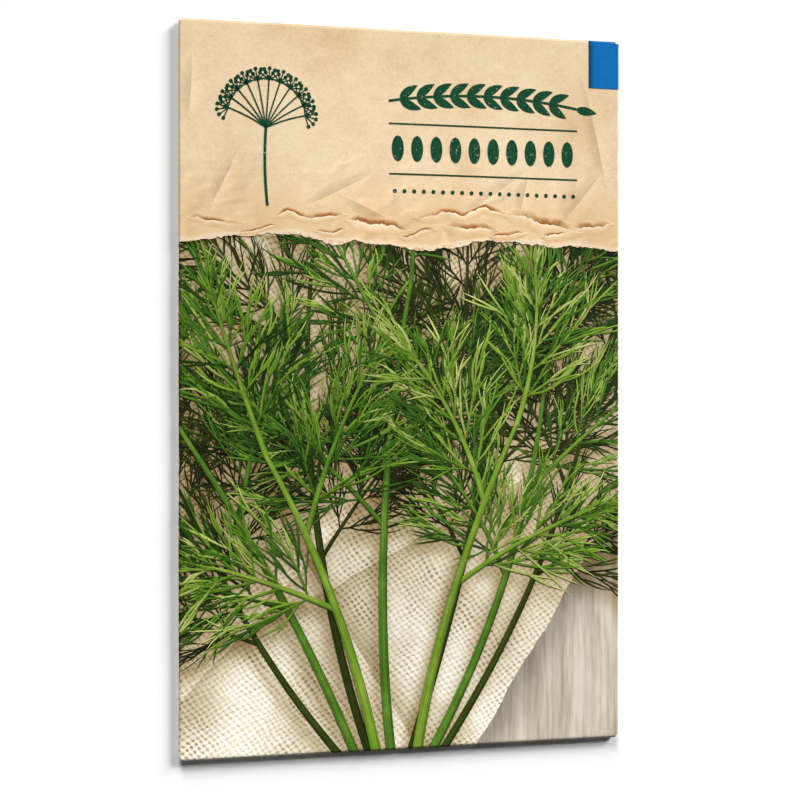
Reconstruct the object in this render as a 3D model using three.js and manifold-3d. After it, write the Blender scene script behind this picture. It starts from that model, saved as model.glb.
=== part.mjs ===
// A flat paper seed packet for a kitchen herb: one paper blank folded into an envelope, the three
// strips of adhesive that hold it shut, and the loose seed inside.
// Millimetres, +Z up. The packet lies on its back on the surface z = 0. The origin is under the
// middle of the packet, +Y points to its top edge and +X to the right-hand side of its front.

import * as THREE from "three";
import { mergeVertices } from "three/addons/utils/BufferGeometryUtils.js";
import Module from "manifold-3d";

const wasm = await Module();
wasm.setup();

// The packet
const packetWidth = 100;
const packetLength = 160;
const frontRise = 1.9; // how far the seed lifts the front over its edges
const riseFromSide = 40; // the front climbs over this much from each side,
const riseFromBottom = 52; // from the bottom edge
const riseFromTop = 78; // and from the top edge
const backDip = 0.5; // how far the back sags below its edges, down to the surface
const dipReach = 30; // it does so over this much from each side and from each flap

// The paper and its folds
const paperThickness = 0.16;
const layerGap = 0.16; // between two glued layers, where the adhesive lies
const seamFlapWidth = 12;
const bottomFlapLength = 16;
const topFlapLength = 22;
const flapInset = 0.6; // how far the end flaps stay in from the sides of the packet at their folds
const flapTaper = 6; // how much narrower a flap is at each end of its free edge
const backInset = 0.45; // how far the back panel stops short of the folds at its ends and its seam

// The adhesive
const glueThickness = 0.08;
const seamGlueInset = 1.5; // how far it keeps in from the free edge of the flap and from the fold
const flapGlueInset = 4;
const seamGlueHalfLength = 68;
const flapGlueHalfWidth = 40;

// The seed
const seedLength = 4.4;
const seedWidth = 2.4;
const seedThickness = 0.9;
const seedsOnAFace = 70;
const seedsOnTheRim = 32;
const heapLength = 50;
const heapWidth = 38;
const heapCentreY = -14;
const coreThickness = 1.5;
const seedStandOff = 0.08; // how far a seed's middle stands off the core
const seedSlope = 0.06; // how far a seed leans outwards at the edge of the core, in radians
const seedRock = 0.2; // how much its lean varies

// Worked out from these
const halfPaper = paperThickness / 2;
const layerPitch = paperThickness + layerGap;
const leftFoldRadius = layerPitch; // the front and the back lie two layers apart
const seamFoldRadius = layerPitch / 2; // the seam flap lies right under the front
const endFoldRadius = layerPitch * 1.5; // the end flaps lie outside the back
const panelLeft = -packetWidth / 2 + leftFoldRadius + halfPaper;
const panelRight = packetWidth / 2 - seamFoldRadius - halfPaper;
const panelEnd = packetLength / 2 - endFoldRadius - halfPaper;
const backEdgeHeight = backDip + halfPaper;
const frontEdgeHeight = backEdgeHeight + 2 * layerPitch;
const sideLength = panelEnd - backInset; // half the length of the back, the side folds and the seam
const flapHalfWidth = packetWidth / 2 - flapInset;

// Grid of the blank
const panelColumns = 14;
const panelRows = 24;
const foldSteps = 6;
const flapRows = 3;
const glueStep = 6.5;

const printedPaper = new THREE.MeshStandardMaterial({ color: 0xd9bd92, roughness: 0.55, metalness: 0 });
const driedGlue = new THREE.MeshStandardMaterial({ color: 0xe9e2cf, roughness: 0.4, metalness: 0 });
const seedHusk = new THREE.MeshStandardMaterial({ color: 0x8a6a43, roughness: 0.8, metalness: 0 });

const evenly = (from, to, count) =>
  Array.from({ length: count + 1 }, (_, i) => from + ((to - from) * i) / count);

// 0 at the edge, 1 from `reach` inwards, with no kink at either end
const rise = (distance, reach) => THREE.MathUtils.smoothstep(distance, 0, reach);

const fromSides = (x) => Math.min(x - panelLeft, panelRight - x);

// Height of the middle of the paper, for the front and for the back
function frontHeight(x, y) {
  const alongLift = rise(panelEnd + y, riseFromBottom) * rise(panelEnd - y, riseFromTop);
  return frontEdgeHeight + frontRise * rise(fromSides(x), riseFromSide) * alongLift;
}

function backHeight(x, y) {
  const freeBelow = panelEnd + y - bottomFlapLength;
  const freeAbove = panelEnd - y - topFlapLength;
  const sag = rise(fromSides(x), dipReach) * rise(freeBelow, dipReach) * rise(freeAbove, dipReach);
  return backEdgeHeight - backDip * sag;
}

// The blank is a grid of columns across the packet and rows along it. Printed side out, its columns
// run from the free edge of the back, round the left side, over the front and round into the seam flap.
const across = [
  ...evenly(panelRight - backInset, panelLeft, panelColumns).map((x) => ({ zone: "back", x })),
  ...evenly(Math.PI, 0, foldSteps).slice(1, -1).map((angle) => ({ zone: "leftFold", angle })),
  { zone: "front", x: panelLeft },
  ...evenly(-flapHalfWidth, flapHalfWidth, panelColumns).map((x) => ({ zone: "front", x })),
  { zone: "front", x: panelRight },
  ...evenly(0, Math.PI, foldSteps).slice(1).map((angle) => ({ zone: "seamFold", angle })),
  ...evenly(0, seamFlapWidth, 2).slice(1).map((out) => ({ zone: "seamFlap", out })),
];

const along = [
  ...evenly(bottomFlapLength, 0, flapRows).map((out) => ({ zone: "endFlap", end: -1, out })),
  ...evenly(Math.PI, 0, foldSteps).slice(1, -1).map((angle) => ({ zone: "endFold", end: -1, angle })),
  { zone: "panel", y: -panelEnd },
  ...evenly(-sideLength, sideLength, panelRows).map((y) => ({ zone: "panel", y })),
  { zone: "panel", y: panelEnd },
  ...evenly(0, Math.PI, foldSteps).slice(1, -1).map((angle) => ({ zone: "endFold", end: 1, angle })),
  ...evenly(0, topFlapLength, flapRows + 1).map((out) => ({ zone: "endFlap", end: 1, out })),
];

// Where a point of the blank lies once it is folded. `outwards` is how far it is outside the middle
// of the paper.
function folded(column, row, outwards) {
  if (row.zone === "endFold") {
    const radius = endFoldRadius + outwards;
    return new THREE.Vector3(
      column.x,
      row.end * (panelEnd + radius * Math.sin(row.angle)),
      frontEdgeHeight - endFoldRadius + radius * Math.cos(row.angle),
    );
  }
  if (row.zone === "endFlap") {
    const flapLength = row.end < 0 ? bottomFlapLength : topFlapLength;
    const x = column.x * (1 - ((flapTaper / flapHalfWidth) * row.out) / flapLength);
    const y = row.end * (panelEnd - row.out);
    return new THREE.Vector3(x, y, backHeight(x, y) - layerPitch - outwards);
  }
  if (column.zone === "leftFold") {
    const radius = leftFoldRadius + outwards;
    return new THREE.Vector3(
      panelLeft - radius * Math.sin(column.angle),
      row.y,
      frontEdgeHeight - leftFoldRadius + radius * Math.cos(column.angle),
    );
  }
  if (column.zone === "seamFold") {
    const radius = seamFoldRadius + outwards;
    return new THREE.Vector3(
      panelRight + radius * Math.sin(column.angle),
      row.y,
      frontEdgeHeight - seamFoldRadius + radius * Math.cos(column.angle),
    );
  }
  if (column.zone === "seamFlap") {
    const x = panelRight - column.out;
    const y = row.y * (1 - ((flapTaper / sideLength) * column.out) / seamFlapWidth);
    return new THREE.Vector3(x, y, backHeight(x, y) + layerPitch - outwards);
  }
  if (column.zone === "back") {
    return new THREE.Vector3(column.x, row.y, backHeight(column.x, row.y) - outwards);
  }
  return new THREE.Vector3(column.x, row.y, frontHeight(column.x, row.y) + outwards);
}

// The back, the side folds and the seam flap stop short of the end folds, and the end folds and end
// flaps stop short of the sides.
function isPaper(columnA, columnB, rowA, rowB) {
  const inFront = columnA.zone === "front" && columnB.zone === "front";
  const inPanel = rowA.zone === "panel" && rowB.zone === "panel";
  if (inFront && inPanel) return true;
  if (inFront) return Math.max(Math.abs(columnA.x), Math.abs(columnB.x)) <= flapHalfWidth;
  return inPanel && Math.max(Math.abs(rowA.y), Math.abs(rowB.y)) <= sideLength;
}

// A closed sheet over the cells of a grid that `isThere` keeps, with a face on either side of its
// middle and a wall along its edges. `place` gives a grid point's place for an offset from the middle.
function sheet(columns, rows, thickness, isThere, place) {
  const corners = [];
  const cell = (i, j) =>
    i >= 0 && j >= 0 && i < columns.length - 1 && j < rows.length - 1 &&
    isThere(columns[i], columns[i + 1], rows[j], rows[j + 1]);
  const outer = (i, j) => place(columns[i], rows[j], thickness / 2);
  const inner = (i, j) => place(columns[i], rows[j], -thickness / 2);
  const quad = (a, b, c, d) => corners.push(a, b, c, a, c, d);
  const wall = (i, j, k, l) => quad(outer(i, j), inner(i, j), inner(k, l), outer(k, l));
  for (let i = 0; i < columns.length - 1; i++) {
    for (let j = 0; j < rows.length - 1; j++) {
      if (!cell(i, j)) continue;
      quad(outer(i, j), outer(i + 1, j), outer(i + 1, j + 1), outer(i, j + 1));
      quad(inner(i, j), inner(i, j + 1), inner(i + 1, j + 1), inner(i + 1, j));
      if (!cell(i, j - 1)) wall(i, j, i + 1, j);
      if (!cell(i + 1, j)) wall(i + 1, j, i + 1, j + 1);
      if (!cell(i, j + 1)) wall(i + 1, j + 1, i, j + 1);
      if (!cell(i - 1, j)) wall(i, j + 1, i, j);
    }
  }
  return mergeVertices(new THREE.BufferGeometry().setFromPoints(corners), 1e-4);
}

function named(name, geometry, material) {
  geometry.computeVertexNormals();
  const mesh = new THREE.Mesh(geometry, material);
  mesh.name = name;
  return mesh;
}

// A strip of adhesive between the back panel and a flap. `side` is +1 on the back's inner face and -1
// on its outer face.
function glueStrip(name, xRange, yRange, side) {
  const steps = (range) => Math.ceil((range[1] - range[0]) / glueStep);
  const columns = evenly(...xRange, steps(xRange));
  const rows = evenly(...yRange, steps(yRange));
  const middleHeight = (x, y) => backHeight(x, y) + (side * layerPitch) / 2;
  const place = (x, y, offset) => new THREE.Vector3(x, y, middleHeight(x, y) + offset);
  return named(name, sheet(columns, rows, glueThickness, () => true, place), driedGlue);
}

// A closed three.js geometry as a solid for joining
function solid(geometry) {
  const bare = geometry.clone();
  bare.deleteAttribute("normal");
  bare.deleteAttribute("uv");
  const merged = mergeVertices(bare, 1e-4);
  return new wasm.Manifold(
    new wasm.Mesh({
      numProp: 3,
      vertProperties: merged.attributes.position.array,
      triVerts: new Uint32Array(merged.index.array),
    }),
  );
}

function geometryOf(made) {
  const mesh = made.getMesh();
  return new THREE.BufferGeometry()
    .setAttribute("position", new THREE.BufferAttribute(mesh.vertProperties, 3))
    .setIndex(new THREE.BufferAttribute(mesh.triVerts, 1));
}

// A repeatable stream of numbers from 0 to 1
function draws(seed) {
  let state = seed;
  return () => {
    state = (state * 1664525 + 1013904223) % 4294967296;
    return state / 4294967296;
  };
}

// The seed has slid together into a flat heap, which lies on the back and lifts the front. Flat oval
// seeds cover a thin core, turned every way, and stand out of it.
function seedHeap() {
  const draw = draws(7);
  const middleHeight = (backHeight(0, heapCentreY) + frontHeight(0, heapCentreY)) / 2;
  const coreHalfWidth = heapWidth / 2 - seedWidth;
  const coreHalfLength = heapLength / 2 - seedWidth;

  const core = new THREE.SphereGeometry(1, 28, 10).rotateX(Math.PI / 2);
  core.scale(coreHalfWidth, coreHalfLength, coreThickness / 2);
  core.translate(0, heapCentreY, middleHeight);
  const grain = new THREE.SphereGeometry(1, 6, 3).rotateX(Math.PI / 2);
  grain.scale(seedLength / 2, seedWidth / 2, seedThickness / 2);

  let heap = solid(core);
  // `share` is how far out the seed lies, 1 at the edge of the core
  const addSeed = (share, angle, height, lean) => {
    const leanAxis = new THREE.Vector3(-Math.sin(angle), Math.cos(angle), 0);
    const seed = grain.clone().rotateZ(draw() * Math.PI);
    seed.applyMatrix4(new THREE.Matrix4().makeRotationAxis(leanAxis, lean + (draw() - 0.5) * seedRock));
    seed.translate(
      coreHalfWidth * share * Math.cos(angle),
      heapCentreY + coreHalfLength * share * Math.sin(angle),
      middleHeight + height,
    );
    heap = heap.add(solid(seed));
  };

  const goldenAngle = Math.PI * (3 - Math.sqrt(5));
  for (const face of [1, -1]) {
    for (let i = 0; i < seedsOnAFace; i++) {
      const share = 0.94 * Math.sqrt((i + 0.5) / seedsOnAFace);
      const coreSurface = (coreThickness / 2) * Math.sqrt(1 - share * share);
      addSeed(share, i * goldenAngle + face, face * (coreSurface + seedStandOff), face * share * seedSlope);
    }
  }
  for (let i = 0; i < seedsOnTheRim; i++) {
    const angle = (2 * Math.PI * (i + 0.5 * draw())) / seedsOnTheRim;
    addSeed(0.97 + 0.05 * draw(), angle, 0.25 * (draw() - 0.5), 0);
  }
  return named("dill_seeds", geometryOf(heap), seedHusk);
}

const packet = new THREE.Group();
packet.add(
  named("paper_envelope", sheet(across, along, paperThickness, isPaper, folded), printedPaper),
  glueStrip(
    "side_seam_glue",
    [panelRight - seamFlapWidth + seamGlueInset, panelRight - seamGlueInset],
    [-seamGlueHalfLength, seamGlueHalfLength],
    1,
  ),
  glueStrip(
    "bottom_flap_glue",
    [-flapGlueHalfWidth, flapGlueHalfWidth],
    [-panelEnd + flapGlueInset, -panelEnd + bottomFlapLength - flapGlueInset],
    -1,
  ),
  glueStrip(
    "top_flap_glue",
    [-flapGlueHalfWidth, flapGlueHalfWidth],
    [panelEnd - topFlapLength + flapGlueInset, panelEnd - flapGlueInset],
    -1,
  ),
  seedHeap(),
);

export default packet;
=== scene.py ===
# A paper seed packet lying on its back, with a generic herb print
import math
import random

import bmesh
import bpy
import numpy as np
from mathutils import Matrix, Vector, noise


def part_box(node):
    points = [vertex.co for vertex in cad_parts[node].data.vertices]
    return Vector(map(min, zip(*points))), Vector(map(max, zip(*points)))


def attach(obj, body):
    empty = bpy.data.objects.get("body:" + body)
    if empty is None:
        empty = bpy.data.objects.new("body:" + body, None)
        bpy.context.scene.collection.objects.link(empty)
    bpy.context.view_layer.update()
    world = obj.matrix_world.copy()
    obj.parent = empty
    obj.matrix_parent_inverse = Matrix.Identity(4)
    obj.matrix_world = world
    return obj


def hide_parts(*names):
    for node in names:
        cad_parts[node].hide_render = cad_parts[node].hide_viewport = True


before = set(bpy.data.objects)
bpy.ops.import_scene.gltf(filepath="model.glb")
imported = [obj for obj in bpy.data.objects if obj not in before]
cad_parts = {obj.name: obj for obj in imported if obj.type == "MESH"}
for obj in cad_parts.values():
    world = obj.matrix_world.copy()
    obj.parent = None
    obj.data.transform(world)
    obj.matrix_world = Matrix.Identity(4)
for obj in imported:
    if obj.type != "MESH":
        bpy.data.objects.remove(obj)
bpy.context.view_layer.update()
mm = 0.001  # every size below is in millimetres, and goes into the scene times this

# How the paper is cut and folded
packet = {
    "paper": 0.16,
    "gap": 0.16,  # between two glued layers
    "frontRise": 1.9,
    "riseFromSide": 40,
    "riseFromBottom": 52,
    "riseFromTop": 78,
    "backDip": 0.5,
    "dipReach": 30,
    "seamFlap": 12,
    "bottomFlap": 16,
    "topFlap": 22,
    "flapInset": 0.6,
    "flapTaper": 6,
    "backInset": 0.45,
    "crumple": 0.05,  # how far the front wanders from its smooth shape
    "crumpleSize": 17,
}

low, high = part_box("paper_envelope")
halfWidth = (high.x - low.x) / 2 / mm
halfLength = (high.y - low.y) / 2 / mm
paper = packet["paper"]
pitch = paper + packet["gap"]
leftRadius = pitch
seamRadius = pitch / 2
endRadius = pitch * 1.5
panelLeft = -halfWidth + leftRadius + paper / 2
panelRight = halfWidth - seamRadius - paper / 2
panelEnd = halfLength - endRadius - paper / 2
backEdge = packet["backDip"] + paper / 2
frontEdge = backEdge + 2 * pitch
sideLength = panelEnd - packet["backInset"]
flapHalf = halfWidth - packet["flapInset"]

# The same folds on the flat blank, measured from the middle of the front
backFold = panelLeft - math.pi * leftRadius
backFree = backFold - (panelRight - packet["backInset"] - panelLeft)
seamFold = panelRight + math.pi * seamRadius
seamFree = seamFold + packet["seamFlap"]
endFold = panelEnd + math.pi * endRadius
bottomFree = -endFold - packet["bottomFlap"]
topFree = endFold + packet["topFlap"]


def rise(distance, reach):
    share = min(max(distance / reach, 0), 1)
    return share * share * (3 - 2 * share)


def fromSides(x):
    return min(x - panelLeft, panelRight - x)


def frontHeight(x, y):
    below, above = panelEnd + y, panelEnd - y
    lift = rise(fromSides(x), packet["riseFromSide"])
    lift *= rise(below, packet["riseFromBottom"]) * rise(above, packet["riseFromTop"])
    free = rise(min(fromSides(x), below, above), packet["crumpleSize"])
    wander = noise.noise(Vector((x, y, 0)) / packet["crumpleSize"])
    return frontEdge + packet["frontRise"] * lift + packet["crumple"] * free * wander


def backHeight(x, y):
    reach = packet["dipReach"]
    sag = rise(fromSides(x), reach)
    sag *= rise(panelEnd + y - packet["bottomFlap"], reach) * rise(panelEnd - y - packet["topFlap"], reach)
    return backEdge - packet["backDip"] * sag


def folded(bx, by, out):
    # where a point of the flat blank lies on the folded packet, `out` mm outside the paper's middle
    side = math.copysign(1, by)
    beyondEnd = abs(by) - panelEnd
    if 0 < beyondEnd < math.pi * endRadius:
        turn, radius = beyondEnd / endRadius, endRadius + out
        y = side * (panelEnd + radius * math.sin(turn))
        return Vector((bx, y, frontEdge - endRadius + radius * math.cos(turn))) * mm
    if beyondEnd > 0:
        flapOut = beyondEnd - math.pi * endRadius
        length = packet["topFlap"] if side > 0 else packet["bottomFlap"]
        x = bx * (1 - packet["flapTaper"] / flapHalf * flapOut / length)
        y = side * (panelEnd - flapOut)
        return Vector((x, y, backHeight(x, y) - pitch - out)) * mm
    if bx < backFold:
        x = panelLeft + backFold - bx
        return Vector((x, by, backHeight(x, by) - out)) * mm
    if bx < panelLeft:
        turn, radius = (panelLeft - bx) / leftRadius, leftRadius + out
        height = frontEdge - leftRadius + radius * math.cos(turn)
        return Vector((panelLeft - radius * math.sin(turn), by, height)) * mm
    if bx <= panelRight:
        return Vector((bx, by, frontHeight(bx, by) + out)) * mm
    if bx <= seamFold:
        turn, radius = (bx - panelRight) / seamRadius, seamRadius + out
        height = frontEdge - seamRadius + radius * math.cos(turn)
        return Vector((panelRight + radius * math.sin(turn), by, height)) * mm
    flapOut = bx - seamFold
    y = by * (1 - packet["flapTaper"] / sideLength * flapOut / packet["seamFlap"])
    x = panelRight - flapOut
    return Vector((x, y, backHeight(x, y) + pitch - out)) * mm


def onFront(x, y, out):
    return folded(x, y, paper / 2 + out)


def onBack(x, y, out):
    # x runs to the right as the back is looked at
    return Vector((-x, y, backHeight(-x, y) - paper / 2 - out)) * mm


def addObject(name, data):
    made = bpy.data.objects.new(name, data)
    bpy.context.scene.collection.objects.link(made)
    return made


def addMesh(name, bm, *materials):
    mesh = bpy.data.meshes.new(name)
    bm.to_mesh(mesh)
    bm.free()
    for material in materials:
        mesh.materials.append(material)
    return addObject(name, mesh)


# The camera looks down on the front from its left
camera = {
    "distance": 319,
    "turn": 12.65,
    "focalPixels": 1434,
    "framePixels": 800,
    "centreAt": (406, 389.5),  # where the packet's middle is in the photo
}


def aimCamera():
    data = bpy.data.cameras.new("camera")
    data.lens = camera["focalPixels"] / camera["framePixels"] * data.sensor_width
    data.shift_x = 0.5 - camera["centreAt"][0] / camera["framePixels"]
    data.shift_y = camera["centreAt"][1] / camera["framePixels"] - 0.5
    data.clip_start = 0.01
    made = addObject("camera", data)
    turn = math.radians(camera["turn"])
    made.rotation_euler = (0, -turn, 0)
    away = Vector((-math.sin(turn), 0, math.cos(turn)))
    made.location = (away * camera["distance"] + Vector((0, 0, frontEdge))) * mm
    bpy.context.scene.camera = made
    print("camera aimed")


# Two broad lamps from above the top edge and from the upper right, so that the shadows fall
# to the left and below, as in the photo, a faint one from overhead that softens them, and one
# for the back, which the floor keeps off the rest
studio = {
    "lamps": (
        {"name": "window", "from": (0.65, 0.53, 0.31), "strength": 4.9, "angle": 23},
        {"name": "top", "from": (-0.12, 0.9, 0.32), "strength": 4.0, "angle": 22},
        {"name": "dome", "from": (0, 0, 1), "strength": 0.16, "angle": 150},
        {"name": "below", "from": (0.35, 0.5, -1), "strength": 3.2, "angle": 40},
    ),
    "floorDrop": 0.03,  # the floor lies this far under the packet
    "floorReach": 20,  # metres
}


def lightStudio():
    scene = bpy.context.scene
    scene.view_settings.view_transform = "Standard"
    world = bpy.data.worlds.new("studio")
    world.use_nodes = True
    world.node_tree.nodes["Background"].inputs["Color"].default_value = (1, 1, 1, 1)
    for ray in ("diffuse", "glossy", "transmission", "scatter"):
        setattr(world.cycles_visibility, ray, False)  # it is a white backdrop that lights nothing
    scene.world = world
    for lamp in studio["lamps"]:
        sun = bpy.data.lights.new(lamp["name"], "SUN")
        sun.energy = lamp["strength"]
        sun.angle = math.radians(lamp["angle"])
        made = addObject(lamp["name"], sun)
        made.rotation_euler = Vector(lamp["from"]).to_track_quat("Z", "Y").to_euler()
    print("studio lit by", len(studio["lamps"]), "lamps")


def layFloor():
    bm = bmesh.new()
    bmesh.ops.create_grid(bm, x_segments=1, y_segments=1, size=studio["floorReach"])
    bmesh.ops.translate(bm, verts=bm.verts, vec=(0, 0, -studio["floorDrop"] * mm))
    material, shader = newMaterial("floor", roughness=0.9, specular=0.05)
    feed(shader.inputs["Base Color"], (1, 1, 1, 1))
    addMesh("floor", bm, material)
    print("floor laid")


# Colours and shader helpers
def ink(red, green, blue):
    # a colour as a screen shows it, 0 to 255, for a shader
    def linear(c):
        c /= 255
        return c / 12.92 if c <= 0.04045 else ((c + 0.055) / 1.055) ** 2.4

    return (linear(red), linear(green), linear(blue), 1)


def addNode(kind, *beside):
    # a new node in the material that one of these nodes or values belongs to
    tree = next(item.id_data for item in beside if hasattr(item, "id_data"))
    return tree.nodes.new(kind)


def feed(socket, value):
    if isinstance(value, bpy.types.NodeSocket):
        socket.id_data.links.new(value, socket)
    else:
        socket.default_value = value


def calc(operation, *values):
    made = addNode("ShaderNodeMath", *values)
    made.operation = operation
    for socket, value in zip(made.inputs, values):
        feed(socket, value)
    return made.outputs[0]


def times(first, second):
    return calc("MULTIPLY", first, second)


def scaled(value, factor, added):
    return calc("MULTIPLY_ADD", value, factor, added)


def fade(value, start, end, low=0.0, high=1.0):
    # goes smoothly from `low` to `high` as the value goes from `start` to `end`
    made = addNode("ShaderNodeMapRange", value)
    made.interpolation_type = "SMOOTHSTEP"
    names = ("Value", "From Min", "From Max", "To Min", "To Max")
    for name, given in zip(names, (value, start, end, low, high)):
        feed(made.inputs[name], given)
    return made.outputs["Result"]


def mixed(share, first, second, how="MIX"):
    made = addNode("ShaderNodeMix", share, first, second)
    made.data_type = "RGBA"
    made.blend_type = how
    for index, value in zip((0, 6, 7), (share, first, second)):
        feed(made.inputs[index], value)
    return made.outputs[2]


def shaded(colour, brightness):
    # a colour times a brightness
    grey = addNode("ShaderNodeCombineColor", colour)
    for socket in grey.inputs:
        feed(socket, brightness)
    return mixed(1.0, colour, grey.outputs[0], "MULTIPLY")


def dimmed(colour, brightness):
    # the same, but warm where it is dark, as cloth in shade is
    warm = addNode("ShaderNodeCombineColor", colour)
    for socket, power in zip(warm.inputs, (0.8, 1.0, 1.4)):
        feed(socket, calc("POWER", brightness, power))
    return mixed(1.0, colour, warm.outputs[0], "MULTIPLY")


def ramp(value, stops):
    made = addNode("ShaderNodeValToRGB", value)
    elements = made.color_ramp.elements
    while len(elements) < len(stops):
        elements.new(1.0)
    for element, (position, colour) in zip(elements, stops):
        element.position = position
        element.color = colour
    feed(made.inputs[0], value)
    return made.outputs[0]


def grain(place, size, detail=3.0, roughness=0.55):
    # noise from 0 to 1, with its patches about `size` mm apart
    made = addNode("ShaderNodeTexNoise", place)
    feed(made.inputs["Vector"], place)
    feed(made.inputs["Scale"], 1 / size)
    feed(made.inputs["Detail"], detail)
    feed(made.inputs["Roughness"], roughness)
    return made.outputs[0]


def mapped(place, move=(0, 0, 0), turn=0.0, scale=(1, 1, 1)):
    made = addNode("ShaderNodeMapping", place)
    feed(made.inputs["Vector"], place)
    feed(made.inputs["Location"], move)
    feed(made.inputs["Rotation"], (0, 0, turn))
    feed(made.inputs["Scale"], scale)
    return made.outputs[0]


def parted(place):
    made = addNode("ShaderNodeSeparateXYZ", place)
    feed(made.inputs[0], place)
    return made.outputs[0], made.outputs[1]


def ownMap(beside, name):
    made = addNode("ShaderNodeUVMap", beside)
    made.uv_map = name
    return made.outputs[0]


def ownValue(beside, name):
    made = addNode("ShaderNodeAttribute", beside)
    made.attribute_name = name
    return made.outputs["Fac"]


def inMillimetres(beside):
    made = addNode("ShaderNodeTexCoord", beside)
    return mapped(made.outputs["Object"], scale=(1 / mm, 1 / mm, 1 / mm))


def bumped(shader, height, distance):
    made = addNode("ShaderNodeBump", height)
    feed(made.inputs["Strength"], 1)
    feed(made.inputs["Distance"], distance * mm)
    feed(made.inputs["Height"], height)
    feed(shader.inputs["Normal"], made.outputs[0])


def newMaterial(name, roughness, specular=0.08):
    made = bpy.data.materials.new(name)
    made.use_nodes = True
    shader = made.node_tree.nodes["Principled BSDF"]
    feed(shader.inputs["Roughness"], roughness)
    feed(shader.inputs["Specular IOR Level"], specular)
    return made, shader


coated = {"roughness": 0.6, "tooth": 0.9, "depth": 0.01}  # the printed paper's satin surface


def evenMaterial(name, finish):
    # one grain gives both the colour and the bumps
    material, shader = newMaterial(name, finish["roughness"], finish["specular"])
    pattern = grain(mapped(inMillimetres(shader), scale=finish["stretch"]), *finish["grain"])
    feed(shader.inputs["Base Color"], ramp(pattern, finish["colours"]))
    bumped(shader, pattern, finish["depth"])
    return material


def newPrint(name, placeOf, colourOf):
    # a printed surface of the packet, whose colour `colourOf` makes from a place in millimetres
    material, shader = newMaterial(name, coated["roughness"])
    place = placeOf(shader)
    feed(shader.inputs["Base Color"], colourOf(place))
    bumped(shader, grain(place, coated["tooth"], 4, 0.7), coated["depth"])
    return material


def printedMaterial(name, colourOf):
    return newPrint(name, inMillimetres, colourOf)


# Kraft paper, for the header and the back
kraft = {
    "dark": ink(222, 190, 146),
    "middle": ink(233, 207, 168),
    "light": ink(239, 217, 182),
    "fibre": ink(184, 142, 98),
}


def kraftColour(place):
    blotch = grain(place, 17, 5, 0.62)
    colour = ramp(blotch, ((0.3, kraft["dark"]), (0.47, kraft["middle"]), (0.7, kraft["light"])))
    pulp = calc("ADD", grain(place, 1.0, 4, 0.75), grain(place, 0.42, 2))
    colour = shaded(colour, scaled(pulp, 0.26, 0.735))
    stretched = mapped(place, turn=0.6, scale=(0.55, 2.6, 1))
    fibre = fade(grain(stretched, 1.1, 2, 0.5), 0.66, 0.76, 0.0, 0.2)
    return mixed(fibre, colour, kraft["fibre"])


def creased(place, strength):
    # brightness of crumpled paper: each thin ridge is light on one side and dark on the other
    sides = []
    for shift in (0.0, 0.45):
        shifted = mapped(place, move=(shift, -shift, 0), scale=(0.8, 1.25, 1))
        away = calc("ABSOLUTE", calc("SUBTRACT", grain(shifted, 15, 3, 0.42), 0.5))
        sides.append(fade(away, 0.0, 0.075))
    slope = calc("SUBTRACT", sides[0], sides[1])
    return scaled(slope, strength, 1.0)


# The printed cloth and boards that the herbs lie on
cloth = {
    "threads": (1.22, 1.02),  # from one thread to the next, both ways
    "turn": math.radians(-33),
    "drift": 3,  # how far the threads stray from straight lines
    "driftSize": 11,
    "gap": ink(166, 142, 100),
    "low": ink(214, 196, 156),
    "middle": ink(236, 224, 194),
    "top": ink(254, 250, 236),
    "patchSize": 30,  # broad patches of shade and light
    "patchLight": (0.82, 1.17),
    "boardDark": ink(174, 157, 134),
    "boardLight": ink(222, 213, 196),
    "boardTurn": math.radians(14),
    "boardGrain": (3.2, 40),  # how wide and long its streaks are
    # where the cloth ends and where it is folded over: a point of the line and the line's heading
    "edge": ((31, -56), 58),
    "edgeShadow": 0.55,
    "edgeReach": 9,
    "wave": 2.4,  # how far these lines stray from straight
    "waveSize": 14,
    "foldLight": 0.07,  # along the upper side of a fold
    "foldLightReach": 12,
    "folds": (
        {"through": (-31, -24), "heading": 121, "shadow": 0.36, "reach": 6},
        {"through": (26, 14), "heading": 47, "shadow": 0.3, "reach": 9},
        {"through": (-48, -60), "heading": 28, "shadow": 0.26, "reach": 6},
    ),
}


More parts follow.
